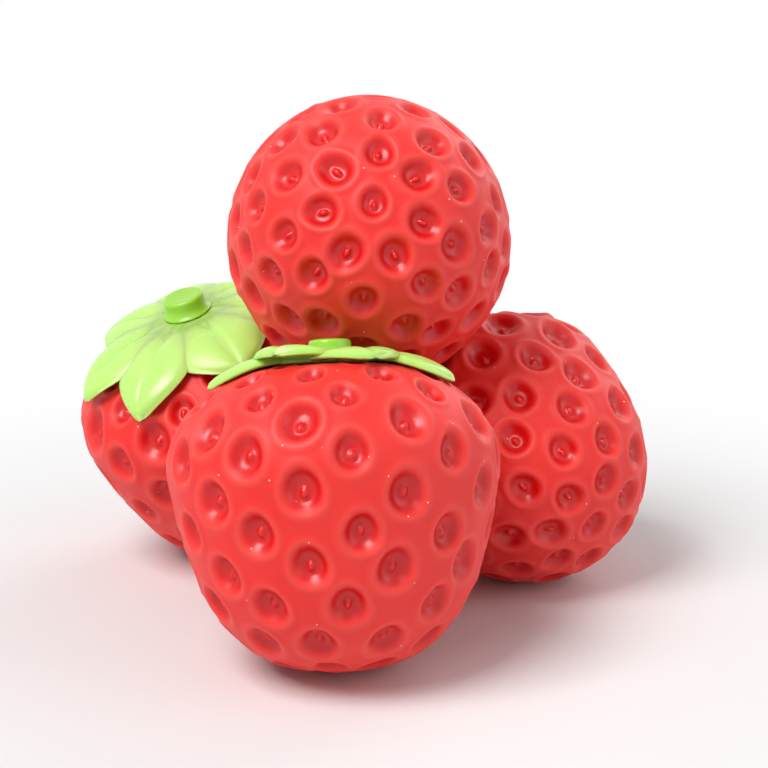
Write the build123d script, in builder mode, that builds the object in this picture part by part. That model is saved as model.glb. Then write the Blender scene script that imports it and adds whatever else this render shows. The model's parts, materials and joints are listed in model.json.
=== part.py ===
from build123d import *
import os
from math import sqrt

os.makedirs("parts", exist_ok=True)

# A pile of four soft vinyl strawberries. Millimetres, +Z up, the floor at Z = 0.
# Each berry is a hollow skin with a foam core, a leaf rosette and a plug-in stem.

# Sizes of each berry
front_diameter, front_height = 51.9, 49.3
left_diameter, left_height = 50.0, 47.5
top_diameter, top_height = 48.0, 45.6
right_diameter, right_height = 47.8, 45.4

# Skin, core and stem
wall = 2.2
core_gap = 0.2
collar_radius = 5.2
collar_depth = 6.0
shank_radius = 2.4
shank_length = 10.5
shank_clearance = 0.06
shank_end_gap = 0.5
stub_radius = 3.5
stub_height = 3.6
flange_radius = 5.4
flange_height = 1.2
crown_dip = 2.9

# Leaf rosette
leaf_thickness = 1.25
leaf_gap = 0.3
leaf_count = 6
notch_radius = 10.5
front_leaf_reach = 19.0
left_leaf_reach = 20.0
top_leaf_reach = 17.5
right_leaf_reach = 17.5

# Spacing in the pile
berry_gap = 0.3
front_left_gap = 3.0
front_right_gap = 3.4
floor_flat = 0.12
top_seat_gap = leaf_thickness + 2 * leaf_gap

# Where the front berry's tip stands, so that the pile is centred on the origin
front_tip_x, front_tip_y = -2.55, -33.2

# Axis of each berry, from its tip to its stem
front_axis = Vector(-0.037, 0.299, 0.954).normalized()
left_axis = Vector(-0.263, -0.251, 0.932).normalized()
top_axis = Vector(-0.035, 0.934, -0.355).normalized()
right_axis = Vector(-0.513, 0.800, 0.311).normalized()

# Outward directions in which neighbours face each other, from the first to the second
front_to_left = Vector(-0.410, 0.912, -0.003).normalized()
front_to_right = Vector(0.600, 0.788, -0.137).normalized()
front_to_top = Vector(0.078, 0.592, 0.802).normalized()
left_to_top = Vector(0.400, -0.474, 0.784).normalized()
right_to_top = Vector(-0.486, -0.278, 0.829).normalized()

# Headings on the floor from the front berry's centre to its neighbours' centres
left_heading = Vector(-0.415, 0.910, 0).normalized()
right_heading = Vector(0.542, 0.840, 0).normalized()

UP = Vector(0, 0, 1)

# Moulded outline, as shares of the half diameter and of the height, from the tip
# to the rim of the dip around the stem
OUTLINE = [
    (0, 0), (0.29, 0.019), (0.51, 0.067), (0.76, 0.207), (0.918, 0.423), (1, 0.639),
    (0.957, 0.756), (0.821, 0.85), (0.632, 0.922), (0.42, 0.958),
]
WIDEST = 0.639


def outline_points(diameter, height):
    rim = [(r * diameter / 2, z * height) for r, z in OUTLINE]
    return rim + [(0, height - crown_dip)]


def outline_edge(diameter, height):
    return Spline(*outline_points(diameter, height), tangents=[(1, 0), (-1, 0)])


def moved_in(edge, distance, count=14):
    """Points a distance inside the outline, from the tip to the top."""
    points = []
    for i in range(count + 1):
        spot, way = edge @ (i / count), edge % (i / count)
        points.append((max(spot.X - way.Y * distance, 0), spot.Y + way.X * distance))
    points[0] = (0, distance)
    points[-1] = (0, (edge @ 1).Y - distance)
    return points


def reach_along(edge, axis, direction, samples=200):
    """How far the berry reaches from its tip in a direction."""
    along = axis.dot(direction)
    across = sqrt(max(1 - along * along, 0))
    spots = [edge @ (i / samples) for i in range(samples + 1)]
    return max(spot.X * across + spot.Y * along for spot in spots)


def apart(first, second, direction, gap):
    """Distance between two tips along a direction that leaves the gap."""
    return (reach_along(first["edge"], first["axis"], direction) + gap
            + reach_along(second["edge"], second["axis"], direction * -1))


def centre_of(berry):
    return berry["tip"] + berry["axis"] * (WIDEST * berry["height"])


def berry_of(diameter, height, axis, leaf_reach, leaf_turn):
    return {
        "diameter": diameter, "height": height, "axis": axis,
        "leaf_reach": leaf_reach, "leaf_turn": leaf_turn,
        "edge": outline_edge(diameter, height),
    }


def stand_height(berry):
    return reach_along(berry["edge"], berry["axis"], UP * -1) - floor_flat


def stand_beside(berry, neighbour, heading, facing, gap):
    """Stand a berry on the floor, along a heading from its neighbour's centre."""
    rise = stand_height(berry)
    start = centre_of(neighbour) - berry["axis"] * (WIDEST * berry["height"])
    start = Vector(start.X, start.Y, rise)
    needed = apart(neighbour, berry, facing, gap) - (start - neighbour["tip"]).dot(facing)
    berry["tip"] = start + heading * (needed / heading.dot(facing))


def rest_on(berry, seats):
    """Seat a berry on three neighbours, each a neighbour, a direction and a gap."""
    ways = [way for _, way, _ in seats]
    heights = [low["tip"].dot(way) + apart(low, berry, way, gap) for low, way, gap in seats]
    box = ways[0].dot(ways[1].cross(ways[2]))
    berry["tip"] = (
        ways[1].cross(ways[2]) * heights[0]
        + ways[2].cross(ways[0]) * heights[1]
        + ways[0].cross(ways[1]) * heights[2]
    ) * (1 / box)


front = berry_of(front_diameter, front_height, front_axis, front_leaf_reach, 20)
left = berry_of(left_diameter, left_height, left_axis, left_leaf_reach, 12)
top = berry_of(top_diameter, top_height, top_axis, top_leaf_reach, 0)
right = berry_of(right_diameter, right_height, right_axis, right_leaf_reach, 0)

front["tip"] = Vector(front_tip_x, front_tip_y, stand_height(front))
stand_beside(left, front, left_heading, front_to_left, front_left_gap)
stand_beside(right, front, right_heading, front_to_right, front_right_gap)
rest_on(top, [
    (front, front_to_top, top_seat_gap),
    (left, left_to_top, top_seat_gap),
    (right, right_to_top, berry_gap),
])

bore_radius = shank_radius + shank_clearance
berries = {"front": front, "left": left, "top": top, "right": right}

for name, berry in berries.items():
    edge, axis, tip = berry["edge"], berry["axis"], berry["tip"]
    diameter, height = berry["diameter"], berry["height"]
    crest = height - crown_dip
    side = Vector(1, 0, 0).cross(axis).cross(axis).normalized() * -1
    section = Plane(origin=tip, x_dir=side, z_dir=side.cross(axis))
    crown = Plane(origin=tip + axis * crest, x_dir=side, z_dir=axis)
    turn = Axis(tip, axis)

    # Hollow skin with a collar that grips the stem
    with BuildPart() as skin:
        with BuildSketch(section):
            with BuildLine():
                Spline(*outline_points(diameter, height), tangents=[(1, 0), (-1, 0)])
                Line((0, crest), (0, 0))
            make_face()
            with BuildLine(mode=Mode.PRIVATE) as hollow:
                Spline(*moved_in(edge, wall), tangents=[(1, 0), (-1, 0)])
                Line((0, crest - wall), (0, wall))
            add(make_face(hollow.edges(), mode=Mode.PRIVATE), mode=Mode.SUBTRACT)
            with Locations((0, crest - collar_depth)):
                Rectangle(collar_radius, collar_depth - wall / 2, align=(Align.MIN, Align.MIN))
            with Locations((0, crest - collar_depth - wall)):
                Rectangle(bore_radius, collar_depth + 2 * wall, align=(Align.MIN, Align.MIN),
                          mode=Mode.SUBTRACT)
        revolve(axis=turn)
        split(bisect_by=Plane.XY, keep=Keep.TOP)
    skin.part.label = f"{name}_skin"
    export_step(skin.part, f"parts/{name}_skin.step")

    # Foam core with a bore for the stem
    with BuildPart() as core:
        with BuildSketch(section):
            with BuildLine():
                Spline(*moved_in(edge, wall + core_gap), tangents=[(1, 0), (-1, 0)])
                Line((0, crest - wall - core_gap), (0, wall + core_gap))
            make_face()
            with Locations((0, crest - collar_depth - core_gap)):
                Rectangle(collar_radius + core_gap, collar_depth + core_gap,
                          align=(Align.MIN, Align.MIN), mode=Mode.SUBTRACT)
            with Locations((0, crest - shank_length - shank_end_gap)):
                Rectangle(bore_radius, shank_length, align=(Align.MIN, Align.MIN),
                          mode=Mode.SUBTRACT)
        revolve(axis=turn)
    core.part.label = f"{name}_core"
    export_step(core.part, f"parts/{name}_core.step")

    # Leaf rosette that follows the shoulder
    reach = berry["leaf_reach"]
    steps = [i / 100 for i in range(60, 101)]
    outermost = max(t for t in steps if (edge @ t).X > reach + leaf_thickness)
    lower, upper = [], []
    for i in range(13):
        t = outermost + (1 - outermost) * i / 12
        spot, way = edge @ t, edge % t
        for points, distance in ((lower, leaf_gap), (upper, leaf_gap + leaf_thickness)):
            points.append((spot.X + way.Y * distance, spot.Y - way.X * distance))
    for points in (lower, upper):
        points[-1] = (0, points[-1][1])
    with BuildPart() as calyx:
        with BuildSketch(section):
            with BuildLine():
                Spline(*lower)
                Spline(*upper)
                Line(lower[0], upper[0])
                Line(lower[-1], upper[-1])
            make_face()
        revolve(axis=turn)
        with BuildSketch(crown):
            with BuildLine():
                rim = []
                for i in range(leaf_count):
                    mid = berry["leaf_turn"] + i * 360 / leaf_count
                    for share, radius in ((-0.5, notch_radius), (-0.3, (notch_radius + reach) / 2),
                                          (0, reach), (0.3, (notch_radius + reach) / 2)):
                        rim.append(Vector(radius, 0).rotate(Axis.Z, mid + share * 360 / leaf_count))
                Spline(*rim, periodic=True)
            make_face()
            Circle(bore_radius, mode=Mode.SUBTRACT)
        extrude(amount=height / 2, both=True, mode=Mode.INTERSECT)
    calyx.part.label = f"{name}_calyx"
    export_step(calyx.part, f"parts/{name}_calyx.step")

    # Stem: a shank through the rosette and the collar, a flange and a cut stub
    seat = leaf_gap + leaf_thickness + leaf_gap
    with BuildPart() as stem:
        with BuildSketch(Plane(origin=crown.origin, x_dir=side, z_dir=side.cross(axis))):
            with BuildLine():
                Polyline((0, -shank_length), (shank_radius, -shank_length), (shank_radius, seat),
                         (flange_radius, seat + leaf_gap), (flange_radius - 1, seat + flange_height),
                         (stub_radius, seat + flange_height + 0.6), (stub_radius, seat + stub_height),
                         (0, seat + stub_height), (0, -shank_length))
            make_face()
        revolve(axis=turn)
    stem.part.label = f"{name}_stem"
    export_step(stem.part, f"parts/{name}_stem.step")
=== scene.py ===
import json
import math

import bmesh
import bpy
import numpy as np
from bpy.props import FloatProperty, FloatVectorProperty, IntProperty, PointerProperty
from mathutils import Matrix, Vector


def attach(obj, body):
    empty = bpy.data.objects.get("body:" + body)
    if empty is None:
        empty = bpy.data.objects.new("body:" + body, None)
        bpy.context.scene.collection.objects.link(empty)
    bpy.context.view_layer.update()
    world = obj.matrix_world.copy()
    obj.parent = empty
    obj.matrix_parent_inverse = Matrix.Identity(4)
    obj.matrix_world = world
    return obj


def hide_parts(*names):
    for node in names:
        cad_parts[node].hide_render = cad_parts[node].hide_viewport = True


bl_info = {
    "name": "Soft vinyl strawberries",
    "version": (1, 0, 0),
    "blender": (4, 5, 0),
    "location": "3D Viewport > Sidebar > Strawberries",
    "description": "Builds a pile of moulded strawberries with leaves and stems",
    "category": "Object",
}

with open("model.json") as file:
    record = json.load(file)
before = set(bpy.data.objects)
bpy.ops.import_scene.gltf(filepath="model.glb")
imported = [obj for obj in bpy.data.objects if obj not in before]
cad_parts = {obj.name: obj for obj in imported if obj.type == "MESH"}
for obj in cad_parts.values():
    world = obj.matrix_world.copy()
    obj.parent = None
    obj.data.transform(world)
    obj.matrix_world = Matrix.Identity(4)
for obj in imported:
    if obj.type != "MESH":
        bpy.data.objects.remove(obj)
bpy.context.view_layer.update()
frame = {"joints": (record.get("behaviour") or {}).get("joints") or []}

MM = 0.001
BERRIES = ("front", "left", "top", "right")

# Depth in millimetres of the dip around the stem
DIP = 2.9

# Foam core in millimetres: how far it is drawn in from the outline, and its bore for the shank
CORE_INSET = 2.4
BORE_RADIUS = 2.5
BORE_DEPTH = 10.9

# Radius in millimetres at which the leaves leave the hub, and that of the rosette's rise
LEAF_ROOT = 2.6
TENT_RADIUS = 17.0

# Paler red for the dimple rims, a painted highlight where light catches the raised ridges
RIM_HIGHLIGHT_RED = (0.86, 0.075, 0.055, 1)
SEED_RED = (0.76, 0.008, 0.008, 1)
DUST_ON_RED = (0.93, 0.70, 0.66, 1)
DUST_ON_GREEN = (0.85, 0.92, 0.75, 1)
FOAM_SHADE = (0.60, 0.55, 0.44, 1)
FOAM_LIGHT = (0.90, 0.86, 0.76, 1)
WHITE = (1, 1, 1, 1)

# Moulded outline of a berry: shares of the half diameter and of the height, from the tip
OUTLINE = [
    (0, 0), (0.29, 0.019), (0.51, 0.067), (0.76, 0.207), (0.918, 0.423), (1, 0.639),
    (0.957, 0.756), (0.821, 0.85), (0.632, 0.922), (0.42, 0.958),
]

# Rings of dimples, from the tip: share of the outline's length, how many, size, half a step on
RINGS = [
    (0.000, 1, 0.85, 0),
    (0.118, 7, 0.92, 0),
    (0.213, 10, 0.95, 0),
    (0.305, 10, 0.98, 1),
    (0.376, 10, 1.00, 0),
    (0.446, 10, 0.98, 1),
    (0.520, 10, 1.06, 0),
    (0.592, 10, 1.00, 1),
    (0.652, 10, 1.14, 0),
    (0.718, 10, 0.84, 1),
    (0.780, 10, 0.72, 0),
    (0.840, 7, 0.55, 1),
]

# Leaves of the hidden rosettes, like those below
EVEN_LEAVES = [(60 * i, 17.5, 6.2, 0.2) for i in range(6)]

# Each berry: diameter and height in millimetres, turn of its dimples in degrees, seed of its
# random draws, rise of its rosette at the stem in millimetres, and its leaves as heading in
# degrees, reach, half width and lift in millimetres
BUILD = {
    "front": dict(diameter=51.9, height=49.3, turn=-9.0, seed=3, tent=0.25, leaves=[
        (296, 16.0, 7.4, 1.4), (344, 20.0, 6.6, 0.6), (40, 17.4, 6.8, 0.0),
        (95, 16.4, 6.4, 0.0), (150, 17.0, 6.4, 0.0), (192, 19.5, 6.4, 0.3),
        (238, 15.5, 7.4, 2.2)]),
    "left": dict(diameter=50.0, height=47.5, turn=14.0, seed=7, tent=2.2, leaves=[
        (300, 19.5, 8.6, 1.2), (246, 23.0, 7.0, 2.4), (208, 23.0, 6.4, 3.4),
        (160, 18.5, 7.6, 1.8), (102, 18.0, 7.6, 0.6), (48, 17.5, 7.4, 0.0), (352, 18.5, 6.6, 0.4)]),
    "top": dict(diameter=48.0, height=45.6, turn=4.0, seed=11, tent=0.4, leaves=EVEN_LEAVES),
    "right": dict(diameter=47.8, height=45.4, turn=20.0, seed=19, tent=0.4, leaves=EVEN_LEAVES),
}

JOINT = {joint["name"]: joint for joint in frame["joints"]}


class StrawberrySkin(bpy.types.PropertyGroup):
    dimple_width: FloatProperty(name="Dimple width", description="Across a large dimple",
                                default=6.0 * MM, min=0.0, unit="LENGTH")
    dimple_length: FloatProperty(name="Dimple length", description="Along a large dimple",
                                 default=6.8 * MM, min=0.0, unit="LENGTH")
    dimple_depth: FloatProperty(name="Dimple depth", description="Depth of a large dimple",
                                default=1.75 * MM, min=0.0, unit="LENGTH")
    rim_height: FloatProperty(name="Rim height", description="Swell around a dimple", default=0.20 * MM,
                              min=0.0, unit="LENGTH")
    seed_size: FloatProperty(name="Seed size", description="Share of the dimple's width", default=0.22,
                             min=0.0, max=1.0, subtype="FACTOR")
    seed_height: FloatProperty(name="Seed height", description="Height of a seed over the dimple's floor",
                               default=0.85 * MM, min=0.0, unit="LENGTH")
    around: IntProperty(name="Steps around", description="Mesh steps around a berry", default=400, min=40)
    along: IntProperty(name="Steps along", description="Mesh steps from tip to stem", default=232, min=40)
    red: FloatVectorProperty(name="Vinyl red", description="Colour of the vinyl", subtype="COLOR",
                             size=4, min=0, max=1, default=(0.78, 0.008, 0.006, 1))
    bloom: FloatVectorProperty(name="Raised red", description="Paler red of the raised skin", subtype="COLOR",
                               size=4, min=0, max=1, default=(0.82, 0.024, 0.017, 1))
    # Painted shade: this darker, deeper red stands in for the shade and the bounced light inside the dimples
    pit_shade: FloatVectorProperty(name="Dimple red", description="Deeper red in the dimples", subtype="COLOR",
                             size=4, min=0, max=1, default=(0.66, 0.001, 0.002, 1))


class StrawberryLeaves(bpy.types.PropertyGroup):
    thickness: FloatProperty(name="Leaf thickness", description="Thickness of a leaf", default=1.2 * MM,
                             min=0.0, unit="LENGTH")
    gap: FloatProperty(name="Gap under leaves", description="Gap between skin and leaves", default=0.3 * MM,
                       min=0.0, unit="LENGTH")
    vein_depth: FloatProperty(name="Vein depth", description="Depth of the middle vein", default=0.4 * MM,
                              min=0.0, unit="LENGTH")
    green: FloatVectorProperty(name="Leaf green", description="Colour of the leaves", subtype="COLOR",
                               size=4, min=0, max=1, default=(0.46, 0.78, 0.17, 1))
    deep: FloatVectorProperty(name="Deep green", description="Colour near the stem and the edges",
                              subtype="COLOR", size=4, min=0, max=1, default=(0.27, 0.60, 0.012, 1))


class StrawberryStem(bpy.types.PropertyGroup):
    stub_radius: FloatProperty(name="Stub radius", description="Half width of the cut stem",
                               default=3.5 * MM, min=0.0, unit="LENGTH")
    stub_height: FloatProperty(name="Stub height", description="Height of the cut stem over the leaves",
                               default=3.6 * MM, min=0.0, unit="LENGTH")
    flange_radius: FloatProperty(name="Flange radius", description="Half width of the stem's foot",
                                 default=4.5 * MM, min=0.0, unit="LENGTH")


class StrawberryStage(bpy.types.PropertyGroup):
    distance: FloatProperty(name="Camera distance", description="From the aim point", default=0.295,
                            min=0.0, unit="LENGTH")
    elevation: FloatProperty(name="Camera elevation", description="Above the horizon",
                             default=math.radians(14.2), subtype="ANGLE")
    lens: FloatProperty(name="Lens", description="Focal length in millimetres", default=88.0, min=1.0)


def outline_curve(diameter, height, dip, samples=1200):
    """The outline as points, its outward normals and the length of the line up to each."""
    stations = [(r * diameter / 2, z * height) for r, z in OUTLINE] + [(0.0, height - dip)]
    points = np.array(stations)
    gaps = np.linalg.norm(np.diff(points, axis=0), axis=1)
    knots = np.concatenate([[0], np.cumsum(np.sqrt(gaps))])
    slopes = natural_slopes(knots, points, (1.0, 0.0), (-1.0, 0.0))
    spots = np.linspace(0, knots[-1], samples)
    span = np.clip(np.searchsorted(knots, spots, side="right") - 1, 0, len(knots) - 2)
    width = (knots[span + 1] - knots[span])[:, None]
    u = ((spots - knots[span])[:, None]) / width
    curve = ((2 * u**3 - 3 * u**2 + 1) * points[span] + (u**3 - 2 * u**2 + u) * width * slopes[span]
             + (3 * u**2 - 2 * u**3) * points[span + 1] + (u**3 - u**2) * width * slopes[span + 1])
    curve[:, 0] = np.maximum(curve[:, 0], 0)
    steps = np.concatenate([[0], np.cumsum(np.linalg.norm(np.diff(curve, axis=0), axis=1))])
    ways = np.gradient(curve, steps, axis=0)
    ways /= np.linalg.norm(ways, axis=1)[:, None]
    normals = np.stack([ways[:, 1], -ways[:, 0]], axis=1)
    return curve, normals, steps


def natural_slopes(knots, points, first, last):
    """Slopes of the smooth curve through the points that has given end directions."""
    count = len(points)
    matrix = np.zeros((count, count))
    right = np.zeros((count, 2))
    widths = np.diff(knots)
    chords = np.diff(points, axis=0) / widths[:, None]
    matrix[0, 0] = matrix[-1, -1] = 1
    right[0] = np.array(first) * np.linalg.norm(chords[0])
    right[-1] = np.array(last) * np.linalg.norm(chords[-1])
    for i in range(1, count - 1):
        matrix[i, i - 1] = widths[i]
        matrix[i, i] = 2 * (widths[i - 1] + widths[i])
        matrix[i, i + 1] = widths[i - 1]
        right[i] = 3 * (widths[i] * chords[i - 1] + widths[i - 1] * chords[i])
    return np.linalg.solve(matrix, right)


def berry_frame(name):
    """Matrix from a berry's own millimetres, tip at the origin and stem up, to the scene."""
    joint = JOINT[f"{name}_leaves_turn"]
    axis = Vector(joint["axis"]).normalized()
    crest = Vector(joint["pos_m"])
    tip = crest - axis * (BUILD[name]["height"] - DIP) * MM
    side = Vector((1, 0, 0)) - axis * axis.x
    side.normalize()
    back = axis.cross(side)
    turn = Matrix((side, back, axis)).transposed().to_4x4()
    return Matrix.Translation(tip) @ turn @ Matrix.Scale(MM, 4)


def to_scene(points, matrix):
    spots = np.asarray(points, dtype=float)
    m = np.array(matrix)
    return spots @ m[:3, :3].T + m[:3, 3]


def mesh_object(name, points, faces, material, smooth=True):
    mesh = bpy.data.meshes.new(name)
    mesh.from_pydata([tuple(p) for p in points], [], faces)
    mesh.validate()
    mesh.polygons.foreach_set("use_smooth", [smooth] * len(mesh.polygons))
    mesh.materials.append(material)
    piece = bpy.data.objects.new(name, mesh)
    bpy.context.scene.collection.objects.link(piece)
    return piece


def add_mask(piece, name, values):
    layer = piece.data.attributes.new(name, "FLOAT", "POINT")
    layer.data.foreach_set("value", np.asarray(values, dtype=np.float32))


def dimple_places(build, length):
    """Places of the dimples: length along the outline, heading in degrees, size and squash."""
    chance = np.random.default_rng(build["seed"])
    places = []
    for share, count, size, half in RINGS:
        for i in range(count):
            heading = build["turn"] + (i + 0.5 * half) * 360 / count
            if count > 1:
                heading += chance.normal(0, 1.6)
            along = share * length + (chance.normal(0, 0.35) if count > 1 else 0)
            size_here = size * chance.uniform(0.93, 1.07)
            squash = chance.uniform(0.85, 1.1)
            places.append((along, heading, size_here, squash))
    return places


def smooth_step(x):
    x = np.clip(x, 0, 1)
    return x * x * (3 - 2 * x)


def turned_grid(radius, rise, heading):
    """Points of a turned surface: a row for each radius and rise, a column for each heading."""
    return np.stack([radius[:, None] * np.cos(heading), radius[:, None] * np.sin(heading),
                     np.repeat(rise[:, None], len(heading), axis=1)], axis=2)


def dimple_shape(skin, x, y, size, squash, chance):
    """Push in millimetres of one dimple with its seed, and its masks.

    x and y are places over the dimple, as shares of its half width and half length.
    """
    skew = chance.normal(0, 0.05)
    seed_x = x + chance.normal(0, 0.03)
    seed_y = y + 0.06 + chance.normal(0, 0.05)
    fold_way = chance.uniform(0, 6.3)

    away = np.sqrt((x * (1 + 0.10 * y) + skew * y) ** 2 + y * y)
    bowl = 0.72 * (1 - smooth_step((away - 0.50) / 0.58)) + 0.28 * (1 - smooth_step(away / 0.9))
    rim = np.exp(-((away - 1.16) / 0.20) ** 2)
    push = skin.rim_height / MM * rim - skin.dimple_depth / MM * min(size, 1.05) * bowl

    half_width = skin.seed_size * 0.92
    half_length = skin.seed_size * 1.2 / squash
    grain = np.sqrt((seed_x / half_width) ** 2 + (seed_y / half_length) ** 2)
    knob = 0.7 * np.sqrt(np.clip(1 - grain**2, 0, 1)) + 0.3 * (1 - smooth_step(grain / 1.5))
    side = 0.5 + 0.5 * np.cos(np.arctan2(seed_y, seed_x) - fold_way)
    fold = np.exp(-((grain - 1.75) / 0.35) ** 2) * side
    push += skin.seed_height / MM * knob * min(size, 1) - 0.05 * fold

    masks = {"dimple": 1 - smooth_step((away - 0.66) / 0.34),
             "seed": np.clip(1.2 - grain, 0, 1),
             "rim": np.exp(-((away - 1.10) / 0.17) ** 2)}
    return push, masks


def moulding_waves(build, heading, share):
    """Slight unevenness of the whole skin in millimetres, none at the tip and at the stem."""
    chance = np.random.default_rng(build["seed"] + 200)
    waves = np.zeros((len(share), len(heading)))
    for _ in range(5):
        turns, rows = chance.integers(1, 4), chance.uniform(1, 3)
        shift = chance.uniform(0, 6.3, 2)
        waves += 0.09 * (np.sin(turns * heading + shift[0])[None, :]
                         * np.sin(rows * math.pi * share + shift[1])[:, None]
                         * np.sin(math.pi * share)[:, None])
    return waves


def skin_surface(build, skin):
    """Points of a dimpled skin in the berry's own millimetres, with its faces and masks."""
    curve, normals, steps = outline_curve(build["diameter"], build["height"], DIP)
    around, along = skin.around, skin.along
    length = steps[-1]
    stations = np.linspace(0, length, along + 1)
    stations[0], stations[-1] = 0.0005 * length, 0.9995 * length
    heading = np.arange(around) * 2 * math.pi / around - math.pi / 2

    def at(lengths, values):
        return np.interp(lengths, steps, values)

    base = turned_grid(at(stations, curve[:, 0]), at(stations, curve[:, 1]), heading)
    normal = turned_grid(at(stations, normals[:, 0]), at(stations, normals[:, 1]), heading)
    push = np.zeros((along + 1, around))
    masks = {label: np.zeros_like(push) for label in ("dimple", "seed", "rim")}
    half_width = skin.dimple_width / MM / 2
    half_length = skin.dimple_length / MM / 2
    chance = np.random.default_rng(build["seed"] + 100)
    for spot, turn, size, squash in dimple_places(build, length):
        angle = math.radians(turn) - math.pi / 2
        radius, rise = at(spot, curve[:, 0]), at(spot, curve[:, 1])
        out_r, out_z = at(spot, normals[:, 0]), at(spot, normals[:, 1])
        middle = np.array([radius * math.cos(angle), radius * math.sin(angle), rise])
        across = np.array([-math.sin(angle), math.cos(angle), 0])
        up = np.array([-out_z * math.cos(angle), -out_z * math.sin(angle), out_r])
        offset = base - middle
        near = (offset**2).sum(axis=2) < (2.6 * half_length * size) ** 2
        x = offset[near] @ across / (half_width * size)
        y = offset[near] @ up / (half_length * size)
        more, tones = dimple_shape(skin, x, y, size, squash, chance)
        push[near] += more
        for label, tone in tones.items():
            masks[label][near] = np.maximum(masks[label][near], tone)
    push *= (1 - smooth_step((stations / length - 0.93) / 0.05))[:, None]
    push += moulding_waves(build, heading, stations / length)

    points = (base + normal * push[:, :, None]).reshape(-1, 3)
    faces = []
    for row in range(along):
        low, high = row * around, (row + 1) * around
        for i in range(around):
            j = (i + 1) % around
            faces.append((low + i, low + j, high + j, high + i))
    faces.append(tuple(reversed(range(around))))
    return points, faces, masks


def turned_faces(around, size):
    """Faces of a section of that many points, turned around the axis in that many steps."""
    faces = []
    for i in range(around):
        j = (i + 1) % around
        for k in range(size - 1):
            faces.append((i * size + k, j * size + k, j * size + k + 1, i * size + k + 1))
    return faces


def core_surface(build):
    """Points and faces of a foam core: the outline drawn in, with a bore for the shank."""
    curve, normals, _ = outline_curve(build["diameter"], build["height"], DIP, samples=120)
    inner = curve - normals * CORE_INSET
    crest = build["height"] - DIP
    middle = build["height"] / 2
    section = [(max(r, 0.0), z, 1.0) for r, z in inner if z < middle or r > BORE_RADIUS + 0.6]
    section.append((BORE_RADIUS, section[-1][1], 0.0))
    section.append((BORE_RADIUS, crest - BORE_DEPTH, 0.0))
    section.append((0.0, crest - BORE_DEPTH, 0.0))
    around = 120
    points = []
    for i in range(around):
        a = i * 2 * math.pi / around
        for r, z, loose in section:
            uneven = 0.08 * math.sin(3 * a + 0.3 * z + build["seed"]) + 0.05 * math.sin(7 * a - 0.5 * z)
            wide = r - loose * min(r / 6, 1) * abs(uneven)
            points.append((wide * math.cos(a), wide * math.sin(a), z))
    return points, turned_faces(around, len(section))


def close_seams(piece):
    """Join the points that meet on the axis and face everything outwards."""
    cleaner = bmesh.new()
    cleaner.from_mesh(piece.data)
    bmesh.ops.remove_doubles(cleaner, verts=cleaner.verts, dist=1e-6)
    bmesh.ops.recalc_face_normals(cleaner, faces=cleaner.faces)
    cleaner.to_mesh(piece.data)
    cleaner.free()


def node(tree, kind, **values):
    made = tree.nodes.new(kind)
    for key, value in values.items():
        setattr(made, key, value)
    return made


def new_group(name, inputs, outputs):
    group = bpy.data.node_groups.new(name, "ShaderNodeTree")
    for label, kind, value in inputs:
        socket = group.interface.new_socket(name=label, in_out="INPUT", socket_type=kind)
        if value is not None:
            socket.default_value = value
    for label, kind in outputs:
        group.interface.new_socket(name=label, in_out="OUTPUT", socket_type=kind)
    return group, group.nodes.new("NodeGroupInput"), group.nodes.new("NodeGroupOutput")


def dust_group():
    """Sparse pale specks of dust and lint, as a mask and a height."""
    if "Dust specks" in bpy.data.node_groups:
        return bpy.data.node_groups["Dust specks"]
    group, start, end = new_group(
        "Dust specks",
        [("Scale", "NodeSocketFloat", 900.0), ("Amount", "NodeSocketFloat", 0.5)],
        [("Mask", "NodeSocketFloat"), ("Height", "NodeSocketFloat")])
    place = node(group, "ShaderNodeTexCoord")
    cells = node(group, "ShaderNodeTexVoronoi", feature="F1")
    group.links.new(place.outputs["Object"], cells.inputs["Vector"])
    group.links.new(start.outputs["Scale"], cells.inputs["Scale"])
    near = node(group, "ShaderNodeMapRange", clamp=True)
    near.inputs["From Min"].default_value = 0.16
    near.inputs["From Max"].default_value = 0.08
    group.links.new(cells.outputs["Distance"], near.inputs["Value"])
    split = node(group, "ShaderNodeSeparateColor")
    group.links.new(cells.outputs["Color"], split.inputs["Color"])
    few = node(group, "ShaderNodeMath", operation="LESS_THAN")
    group.links.new(split.outputs["Red"], few.inputs[0])
    group.links.new(start.outputs["Amount"], few.inputs[1])
    both = node(group, "ShaderNodeMath", operation="MULTIPLY")
    group.links.new(near.outputs["Result"], both.inputs[0])
    group.links.new(few.outputs["Value"], both.inputs[1])
    group.links.new(both.outputs["Value"], end.inputs["Mask"])
    group.links.new(both.outputs["Value"], end.inputs["Height"])
    return group


def mottle_group():
    """Soft uneven colour of moulded plastic, as a factor, with a fine surface height."""
    if "Moulded mottle" in bpy.data.node_groups:
        return bpy.data.node_groups["Moulded mottle"]
    group, start, end = new_group(
        "Moulded mottle",
        [("Broad scale", "NodeSocketFloat", 60.0), ("Fine scale", "NodeSocketFloat", 1500.0)],
        [("Factor", "NodeSocketFloat"), ("Height", "NodeSocketFloat")])
    place = node(group, "ShaderNodeTexCoord")
    broad = node(group, "ShaderNodeTexNoise")
    broad.inputs["Detail"].default_value = 4
    fine = node(group, "ShaderNodeTexNoise")
    fine.inputs["Detail"].default_value = 3
    for texture, label in ((broad, "Broad scale"), (fine, "Fine scale")):
        group.links.new(place.outputs["Object"], texture.inputs["Vector"])
        group.links.new(start.outputs[label], texture.inputs["Scale"])
    spread = node(group, "ShaderNodeMapRange", clamp=True)
    spread.inputs["From Min"].default_value = 0.3
    spread.inputs["From Max"].default_value = 0.7
    group.links.new(broad.outputs["Fac"], spread.inputs["Value"])
    group.links.new(spread.outputs["Result"], end.inputs["Factor"])
    group.links.new(fine.outputs["Fac"], end.inputs["Height"])
    return group


def blank_material(name):
    material = bpy.data.materials.new(name)
    material.use_nodes = True
    tree = material.node_tree
    return material, tree, tree.nodes["Principled BSDF"]


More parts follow.
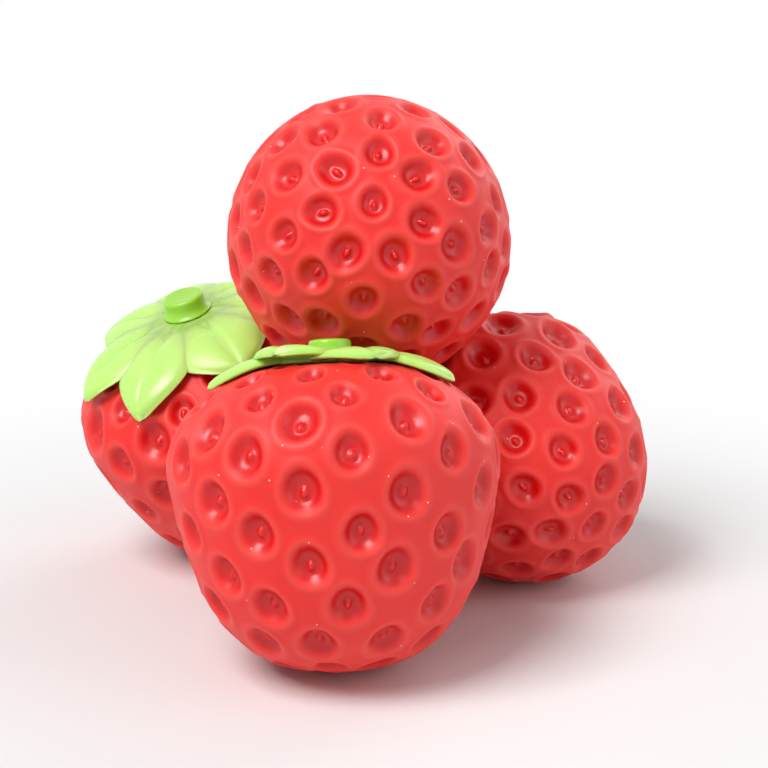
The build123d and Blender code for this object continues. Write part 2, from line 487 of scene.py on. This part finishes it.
def mix_colour(tree, factor, first, second):
    mix = node(tree, "ShaderNodeMix", data_type="RGBA")
    for value, label in ((factor, "Factor"), (first, "A"), (second, "B")):
        socket = mix.inputs[label]
        if hasattr(value, "is_linked"):
            tree.links.new(value, socket)
        else:
            socket.default_value = value
    return mix.outputs["Result"]


def placed(tree, group, **values):
    made = node(tree, "ShaderNodeGroup", node_tree=group)
    for label, value in values.items():
        made.inputs[label.replace("_", " ")].default_value = value
    return made


def vinyl_material(skin):
    material, tree, shader = blank_material("soft_red_vinyl")
    pit_shade = node(tree, "ShaderNodeAttribute", attribute_name="dimple")
    seed = node(tree, "ShaderNodeAttribute", attribute_name="seed")
    rim = node(tree, "ShaderNodeAttribute", attribute_name="rim")
    mottle = placed(tree, mottle_group(), Broad_scale=70.0, Fine_scale=2200.0)
    dust = placed(tree, dust_group(), Scale=1050.0, Amount=0.035)
    raised = mix_colour(tree, mottle.outputs["Factor"], tuple(skin.red), tuple(skin.bloom))
    deep = node(tree, "ShaderNodeMapRange", clamp=True, interpolation_type="SMOOTHSTEP")
    deep.inputs["From Min"].default_value = 0.05
    deep.inputs["From Max"].default_value = 0.85
    tree.links.new(pit_shade.outputs["Fac"], deep.inputs["Value"])
    # Painted highlight: the rims of the dimples are mixed part way towards the paler rim red
    rim_highlight = node(tree, "ShaderNodeMath", operation="MULTIPLY")
    rim_highlight.inputs[1].default_value = 0.45
    tree.links.new(rim.outputs["Fac"], rim_highlight.inputs[0])
    rim_highlighted = mix_colour(tree, rim_highlight.outputs["Value"], raised, RIM_HIGHLIGHT_RED)
    # Painted shade in the dimples: the pit mask mixes in the darker pit red (and also sets the glossier
    # roughness there)
    pit_shaded = mix_colour(tree, deep.outputs["Result"], rim_highlighted, tuple(skin.pit_shade))
    seeded = mix_colour(tree, seed.outputs["Fac"], pit_shaded, SEED_RED)
    dusted = mix_colour(tree, dust.outputs["Mask"], seeded, DUST_ON_RED)
    tree.links.new(dusted, shader.inputs["Base Color"])
    rough = node(tree, "ShaderNodeMapRange", clamp=True)
    rough.inputs["To Min"].default_value = 0.56
    rough.inputs["To Max"].default_value = 0.34
    tree.links.new(deep.outputs["Result"], rough.inputs["Value"])
    tree.links.new(rough.outputs["Result"], shader.inputs["Roughness"])
    shader.inputs["Subsurface Weight"].default_value = 0.22
    shader.inputs["Subsurface Radius"].default_value = (1.0, 0.16, 0.10)
    shader.inputs["Subsurface Scale"].default_value = 0.003
    shader.inputs["Specular IOR Level"].default_value = 0.55
    shader.inputs["Sheen Weight"].default_value = 0.06
    shader.inputs["Sheen Roughness"].default_value = 0.45
    shader.inputs["Sheen Tint"].default_value = (1.0, 0.62, 0.58, 1)
    bump = node(tree, "ShaderNodeBump")
    bump.inputs["Strength"].default_value = 0.10
    bump.inputs["Distance"].default_value = 0.0002
    tree.links.new(mottle.outputs["Height"], bump.inputs["Height"])
    specks = node(tree, "ShaderNodeBump")
    specks.inputs["Strength"].default_value = 0.5
    specks.inputs["Distance"].default_value = 0.0001
    tree.links.new(dust.outputs["Height"], specks.inputs["Height"])
    tree.links.new(bump.outputs["Normal"], specks.inputs["Normal"])
    tree.links.new(specks.outputs["Normal"], shader.inputs["Normal"])
    return material


def green_material(name, leaves, near_stem):
    material, tree, shader = blank_material(name)
    edge = node(tree, "ShaderNodeAttribute", attribute_name="deep")
    mottle = placed(tree, mottle_group(), Broad_scale=110.0, Fine_scale=1400.0)
    dust = placed(tree, dust_group(), Scale=1300.0, Amount=0.02)
    pale = tuple(min(1, c * 1.12) for c in leaves.green[:3]) + (1,)
    even = mix_colour(tree, mottle.outputs["Factor"], tuple(leaves.green), pale)
    if near_stem:
        toned = mix_colour(tree, 0.8, even, tuple(leaves.deep))
    else:
        toned = mix_colour(tree, edge.outputs["Fac"], even, tuple(leaves.deep))
    dusted = mix_colour(tree, dust.outputs["Mask"], toned, DUST_ON_GREEN)
    tree.links.new(dusted, shader.inputs["Base Color"])
    rough = node(tree, "ShaderNodeMapRange")
    rough.inputs["To Min"].default_value = 0.24
    rough.inputs["To Max"].default_value = 0.34
    tree.links.new(mottle.outputs["Factor"], rough.inputs["Value"])
    tree.links.new(rough.outputs["Result"], shader.inputs["Roughness"])
    shader.inputs["Subsurface Weight"].default_value = 0.35
    shader.inputs["Subsurface Radius"].default_value = (0.5, 1.0, 0.12)
    shader.inputs["Subsurface Scale"].default_value = 0.0018
    shader.inputs["Specular IOR Level"].default_value = 0.5
    bump = node(tree, "ShaderNodeBump")
    bump.inputs["Strength"].default_value = 0.08
    bump.inputs["Distance"].default_value = 0.0002
    tree.links.new(mottle.outputs["Height"], bump.inputs["Height"])
    tree.links.new(bump.outputs["Normal"], shader.inputs["Normal"])
    return material


def foam_material():
    material, tree, shader = blank_material("cream_foam")
    place = node(tree, "ShaderNodeTexCoord")
    cells = node(tree, "ShaderNodeTexVoronoi")
    cells.inputs["Scale"].default_value = 1100
    tree.links.new(place.outputs["Object"], cells.inputs["Vector"])
    tone = mix_colour(tree, cells.outputs["Distance"], FOAM_SHADE, FOAM_LIGHT)
    tree.links.new(tone, shader.inputs["Base Color"])
    shader.inputs["Roughness"].default_value = 0.92
    bump = node(tree, "ShaderNodeBump")
    bump.inputs["Strength"].default_value = 0.7
    bump.inputs["Distance"].default_value = 0.0004
    tree.links.new(cells.outputs["Distance"], bump.inputs["Height"])
    tree.links.new(bump.outputs["Normal"], shader.inputs["Normal"])
    return material


def tent_rise(build, radius):
    """How much the rosette rises over the skin towards its stem."""
    return build["tent"] * (1 - smooth_step(radius / TENT_RADIUS))


def shoulder(curve):
    """Radii and rises of the upper part of the outline, from the stem outwards."""
    upper = curve[np.argmax(curve[:, 1] > 0.62 * curve[:, 1].max()):]
    return upper[::-1, 0], upper[::-1, 1]


def leaf_points(build, leaves, heading, reach, half_width, lift, curve):
    """Closed sheet of one leaf in the berry's own millimetres, with its faces and edge mask."""
    radii, rises = shoulder(curve)
    rows, columns = 26, 18
    gap, thick = leaves.gap / MM, leaves.thickness / MM
    vein = leaves.vein_depth / MM
    turn = math.radians(heading)
    ahead = np.array([math.cos(turn), math.sin(turn)])
    across = np.array([-math.sin(turn), math.cos(turn)])
    top, bottom, mask = [], [], []
    for i in range(rows + 1):
        u = i / rows
        along = LEAF_ROOT + (reach - LEAF_ROOT) * (1 - (1 - u) ** 1.25)
        body = 0.80 + 0.20 * math.sin(min(u / 0.50, 1) * math.pi / 2)
        point = 1 if u < 0.50 else max(0.0, math.cos((u - 0.50) / 0.50 * math.pi / 2)) ** 0.85
        width = max(half_width * body * point, 0.02)
        ease = smooth_step((u - 0.15) / 0.85)
        deepest = vein * max(0.0, math.sin(math.pi * min(u * 1.05, 1))) ** 0.6
        for k in range(columns + 1):
            v = -1 + 2 * k / columns
            spot = ahead * along + across * (v * width)
            spot = spot - ahead * (0.10 * width * v * v * (1 if u > 0.3 else 0))
            radius = min(math.hypot(*spot), radii.max() - 0.05)
            ground = np.interp(radius, radii, rises) + gap
            level = ground + lift * ease * (1 - 0.12 * v * v) + tent_rise(build, radius)
            curl = -0.25 * thick * abs(v) ** 3 * min(1, 2.5 * u)
            edge = min(1 - abs(v), 1.6 * (1 - u))
            round_off = math.sqrt(max(0.0, 1 - (1 - min(edge / 0.22, 1)) ** 2))
            groove = deepest * math.exp(-(v * width / 0.55) ** 2)
            swell = 0.22 * math.sin(math.pi * min(abs(v) * 1.15, 1)) * point
            middle = level + thick / 2 + curl
            half_thick = thick / 2 * round_off
            top.append((*spot, middle + half_thick - groove + swell))
            bottom.append((*spot, max(middle - half_thick, ground)))
            mask.append(max(0.0, 1 - edge / 0.10) * 0.35 + max(0.0, 0.22 - u) * 2.2)
    return top + bottom, sheet_faces(rows, columns), mask + mask


def sheet_faces(rows, columns):
    """Faces of a closed sheet: its top, its bottom and the strip around its edge."""
    stride = columns + 1
    count = (rows + 1) * stride
    faces = []
    for i in range(rows):
        for k in range(columns):
            a, b = i * stride + k, i * stride + k + 1
            c, d = b + stride, a + stride
            faces.append((a, d, c, b))
            faces.append((count + a, count + b, count + c, count + d))
    loop = [i * stride for i in range(rows)]
    loop += [rows * stride + k for k in range(columns)]
    loop += [i * stride + columns for i in range(rows, 0, -1)]
    loop += list(range(columns, 0, -1))
    for a, b in zip(loop, loop[1:] + loop[:1]):
        faces.append((a, b, count + b, count + a))
    return faces


def hub_points(build, leaves, curve):
    """Joined middle of the leaves: a lens-shaped ring around the stem."""
    radii, rises = shoulder(curve)
    gap, thick = leaves.gap / MM, leaves.thickness / MM
    section = []
    upper = ((2.5, 0.0), (2.5, 0.9), (3.5, 1.05), (5.5, 1.1), (7.5, 1.0), (9.0, 0.8), (10.2, 0.4))
    for r, share in upper:
        section.append((r, np.interp(r, radii, rises) + gap + thick * share + tent_rise(build, r)))
    for r in (10.3, 8.0, 5.0):
        section.append((r, np.interp(r, radii, rises) + gap + 0.9 * tent_rise(build, r)))
    around = 96
    points, faces, mask = [], [], []
    for i in range(around):
        a = i * 2 * math.pi / around
        wave = 1 + 0.04 * math.sin(3 * a + build["seed"])
        for r, z in section:
            points.append((r * wave * math.cos(a), r * wave * math.sin(a), z))
            mask.append(max(0, 1 - r / 9) * 0.9)
    size = len(section)
    for i in range(around):
        j = (i + 1) % around
        for k in range(size):
            n = (k + 1) % size
            faces.append((i * size + k, i * size + n, j * size + n, j * size + k))
    return points, faces, mask


def stem_points(build, stem):
    """Points and faces of a cut stem with its foot and shank, slightly oval above the leaves."""
    stub, tall, foot = stem.stub_radius / MM, stem.stub_height / MM, stem.flange_radius / MM
    crest = build["height"] - DIP
    seat = 1.45 + build["tent"]
    cut = seat + tall
    shank = [(0, -10.5), (2.0, -10.5), (2.3, -10.1), (2.36, -6), (2.36, seat - 0.1)]
    flange = [(foot - 0.3, seat + 0.32), (foot, seat + 0.5), (foot - 0.2, seat + 0.7)]
    neck = [(stub + 0.45, seat + 1.0), (stub + 0.15, seat + 1.5), (stub, seat + 2.2)]
    end = [(stub + 0.05, cut - 0.5), (stub - 0.12, cut - 0.15), (stub - 0.5, cut),
           (stub - 1.1, cut - 0.12), (1.0, cut - 0.3), (0, cut - 0.32)]
    section = shank + flange + neck + end
    around = 72
    points = []
    for i in range(around):
        a = i * 2 * math.pi / around
        for r, z in section:
            above = smooth_step((z - seat) / 2.0)
            oval = 1 + above * 0.045 * math.cos(2 * a + build["seed"])
            points.append((r * oval * math.cos(a), r * oval * math.sin(a), crest + z))
    return points, turned_faces(around, len(section))


class STRAWBERRY_OT_skins(bpy.types.Operator):
    """Mould the dimpled red skins"""
    bl_idname = "strawberry.skins"
    bl_label = "Skins"

    def execute(self, context):
        skin = context.scene.strawberry_skin
        vinyl = vinyl_material(skin)
        for name in BERRIES:
            build = BUILD[name]
            points, faces, masks = skin_surface(build, skin)
            placed_points = to_scene(points, berry_frame(name))
            placed_points[:, 2] = np.maximum(placed_points[:, 2], 0.0)
            piece = mesh_object(f"{name}_dimpled_skin", placed_points, faces, vinyl)
            for label, values in masks.items():
                add_mask(piece, label, values.reshape(-1))
            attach(piece, f"{name}_berry")
            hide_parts(f"{name}_skin")
        return {"FINISHED"}


class STRAWBERRY_OT_cores(bpy.types.Operator):
    """Fill the skins with their tight foam cores, bored for the shanks"""
    bl_idname = "strawberry.cores"
    bl_label = "Cores"

    def execute(self, context):
        foam = foam_material()
        for name in BERRIES:
            points, faces = core_surface(BUILD[name])
            placed_points = to_scene(points, berry_frame(name))
            piece = mesh_object(f"{name}_foam_core", placed_points, faces, foam)
            close_seams(piece)
            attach(piece, f"{name}_berry")
            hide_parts(f"{name}_core")
        return {"FINISHED"}


class STRAWBERRY_OT_leaves(bpy.types.Operator):
    """Mould the green leaf rosettes"""
    bl_idname = "strawberry.leaves"
    bl_label = "Leaves"

    def execute(self, context):
        leaves = context.scene.strawberry_leaves
        green = green_material("glossy_leaf_green", leaves, False)
        for name in BERRIES:
            build = BUILD[name]
            curve, _, _ = outline_curve(build["diameter"], build["height"], DIP)
            points, faces, mask = hub_points(build, leaves, curve)
            for heading, reach, half_width, lift in build["leaves"]:
                more, sides, tone = leaf_points(
                    build, leaves, heading, reach, half_width, lift, curve)
                start = len(points)
                points.extend(more)
                faces.extend(tuple(start + i for i in face) for face in sides)
                mask.extend(tone)
            placed_points = to_scene(points, berry_frame(name))
            piece = mesh_object(f"{name}_leaf_rosette", placed_points, faces, green)
            add_mask(piece, "deep", mask)
            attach(piece, f"{name}_leaves")
            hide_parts(f"{name}_calyx")
        return {"FINISHED"}


class STRAWBERRY_OT_stems(bpy.types.Operator):
    """Turn the cut stems with their plug shanks"""
    bl_idname = "strawberry.stems"
    bl_label = "Stems"

    def execute(self, context):
        leaves = context.scene.strawberry_leaves
        stem = context.scene.strawberry_stem
        green = green_material("stem_green", leaves, True)
        for name in BERRIES:
            points, faces = stem_points(BUILD[name], stem)
            placed_points = to_scene(points, berry_frame(name))
            piece = mesh_object(f"{name}_cut_stem", placed_points, faces, green)
            close_seams(piece)
            rounding = piece.modifiers.new("Rounding", "SUBSURF")
            rounding.levels = rounding.render_levels = 1
            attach(piece, "front_leaves" if name == "front" else f"{name}_plug")
            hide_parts(f"{name}_stem")
        return {"FINISHED"}


def seen_rays(tree):
    """1 for the rays that show the backdrop: straight from the camera, mirrored or passed through."""
    path = node(tree, "ShaderNodeLightPath")
    seen = path.outputs["Is Camera Ray"]
    for label in ("Is Glossy Ray", "Is Transmission Ray"):
        either = node(tree, "ShaderNodeMath", operation="MAXIMUM")
        tree.links.new(seen, either.inputs[0])
        tree.links.new(path.outputs[label], either.inputs[1])
        seen = either.outputs["Value"]
    return seen


def area_lamp(name, spot, aim, size, power, colour=(1, 1, 1)):
    lamp = bpy.data.lights.new(name, "AREA")
    lamp.size = size
    lamp.energy = power
    lamp.color = colour
    holder = bpy.data.objects.new(name, lamp)
    holder.location = spot
    holder.rotation_euler = (Vector(aim) - Vector(spot)).to_track_quat("-Z", "Y").to_euler()
    bpy.context.scene.collection.objects.link(holder)


class STRAWBERRY_OT_stage(bpy.types.Operator):
    """Set the white floor, the soft studio lamps and the camera"""
    bl_idname = "strawberry.stage"
    bl_label = "Stage"

    def execute(self, context):
        scene = context.scene
        stage = scene.strawberry_stage
        reach, level = 3.0, -0.0002
        corners = [(x * reach, y * reach, level) for x, y in ((-1, -1), (1, -1), (1, 1), (-1, 1))]
        floor = mesh_object("studio_floor", corners, [(0, 1, 2, 3)], self.floor_material(), smooth=False)
        world = bpy.data.worlds.new("white_studio")
        scene.world = world
        world.use_nodes = True
        tree = world.node_tree
        back = tree.nodes["Background"]
        light = node(tree, "ShaderNodeMapRange")
        light.inputs["To Min"].default_value = 0.34
        light.inputs["To Max"].default_value = 1.0
        tree.links.new(seen_rays(tree), light.inputs["Value"])
        tree.links.new(light.outputs["Result"], back.inputs["Strength"])
        back.inputs["Color"].default_value = WHITE
        area_lamp("key_lamp", (-0.42, -0.42, 0.80), (0, 0, 0.05), 0.50, 8.6)
        area_lamp("fill_lamp", (0.60, -0.20, 0.30), (0, 0, 0.04), 0.5, 0.9)
        area_lamp("back_lamp", (0.45, 0.60, 0.50), (0, 0, 0.05), 0.6, 2.2)
        lens = bpy.data.cameras.new("camera")
        lens.sensor_width = 36
        lens.lens = stage.lens
        lens.clip_start = 0.01
        camera = bpy.data.objects.new("camera", lens)
        aim = Vector((0.0041, -0.0197, 0.0439))
        up = stage.elevation
        camera.location = aim + Vector((0, -math.cos(up), math.sin(up))) * stage.distance
        camera.rotation_euler = (math.pi / 2 - up, 0, 0)
        scene.collection.objects.link(camera)
        scene.camera = camera
        scene.view_settings.view_transform = "Standard"
        return {"FINISHED"}

    def floor_material(self):
        """Pale floor that keeps the shadows near the berries and fades into white further out"""
        material, tree, shader = blank_material("pale_floor")
        shader.inputs["Base Color"].default_value = (0.80, 0.80, 0.80, 1)
        shader.inputs["Roughness"].default_value = 0.8
        shader.inputs["Specular IOR Level"].default_value = 0.1
        place = node(tree, "ShaderNodeTexCoord")
        length = node(tree, "ShaderNodeVectorMath", operation="LENGTH")
        tree.links.new(place.outputs["Object"], length.inputs[0])
        fade = node(tree, "ShaderNodeMapRange", clamp=True, interpolation_type="SMOOTHSTEP")
        fade.inputs["From Min"].default_value = 0.07
        fade.inputs["From Max"].default_value = 0.17
        tree.links.new(length.outputs["Value"], fade.inputs["Value"])
        seen = node(tree, "ShaderNodeMath", operation="MULTIPLY")
        tree.links.new(fade.outputs["Result"], seen.inputs[0])
        tree.links.new(seen_rays(tree), seen.inputs[1])
        white = node(tree, "ShaderNodeEmission")
        white.inputs["Color"].default_value = WHITE
        white.inputs["Strength"].default_value = 1.0
        blend = node(tree, "ShaderNodeMixShader")
        tree.links.new(seen.outputs["Value"], blend.inputs[0])
        tree.links.new(shader.outputs["BSDF"], blend.inputs[1])
        tree.links.new(white.outputs["Emission"], blend.inputs[2])
        tree.links.new(blend.outputs["Shader"], tree.nodes["Material Output"].inputs["Surface"])
        return material


class STRAWBERRY_PT_panel(bpy.types.Panel):
    """Lists the pieces and their sizes"""
    bl_idname = "STRAWBERRY_PT_panel"
    bl_label = "Strawberries"
    bl_space_type = "VIEW_3D"
    bl_region_type = "UI"
    bl_category = "Strawberries"

    def draw(self, context):
        for operator in OPERATORS:
            self.layout.operator(operator.bl_idname)
        for label in GROUPS:
            group = getattr(context.scene, label)
            box = self.layout.box()
            for key in group.__annotations__:
                box.prop(group, key)


GROUPS = {
    "strawberry_skin": StrawberrySkin,
    "strawberry_leaves": StrawberryLeaves,
    "strawberry_stem": StrawberryStem,
    "strawberry_stage": StrawberryStage,
}
OPERATORS = (STRAWBERRY_OT_stage, STRAWBERRY_OT_skins, STRAWBERRY_OT_cores, STRAWBERRY_OT_leaves,
             STRAWBERRY_OT_stems)


def register():
    for label, group in GROUPS.items():
        bpy.utils.register_class(group)
        setattr(bpy.types.Scene, label, PointerProperty(type=group))
    for operator in OPERATORS:
        bpy.utils.register_class(operator)
    bpy.utils.register_class(STRAWBERRY_PT_panel)


def unregister():
    bpy.utils.unregister_class(STRAWBERRY_PT_panel)
    for operator in reversed(OPERATORS):
        bpy.utils.unregister_class(operator)
    for label, group in GROUPS.items():
        delattr(bpy.types.Scene, label)
        bpy.utils.unregister_class(group)


def main():
    register()
    bpy.ops.strawberry.stage()
    bpy.ops.strawberry.skins()
    bpy.ops.strawberry.cores()
    bpy.ops.strawberry.leaves()
    bpy.ops.strawberry.stems()


if __name__ == "__main__":
    main()
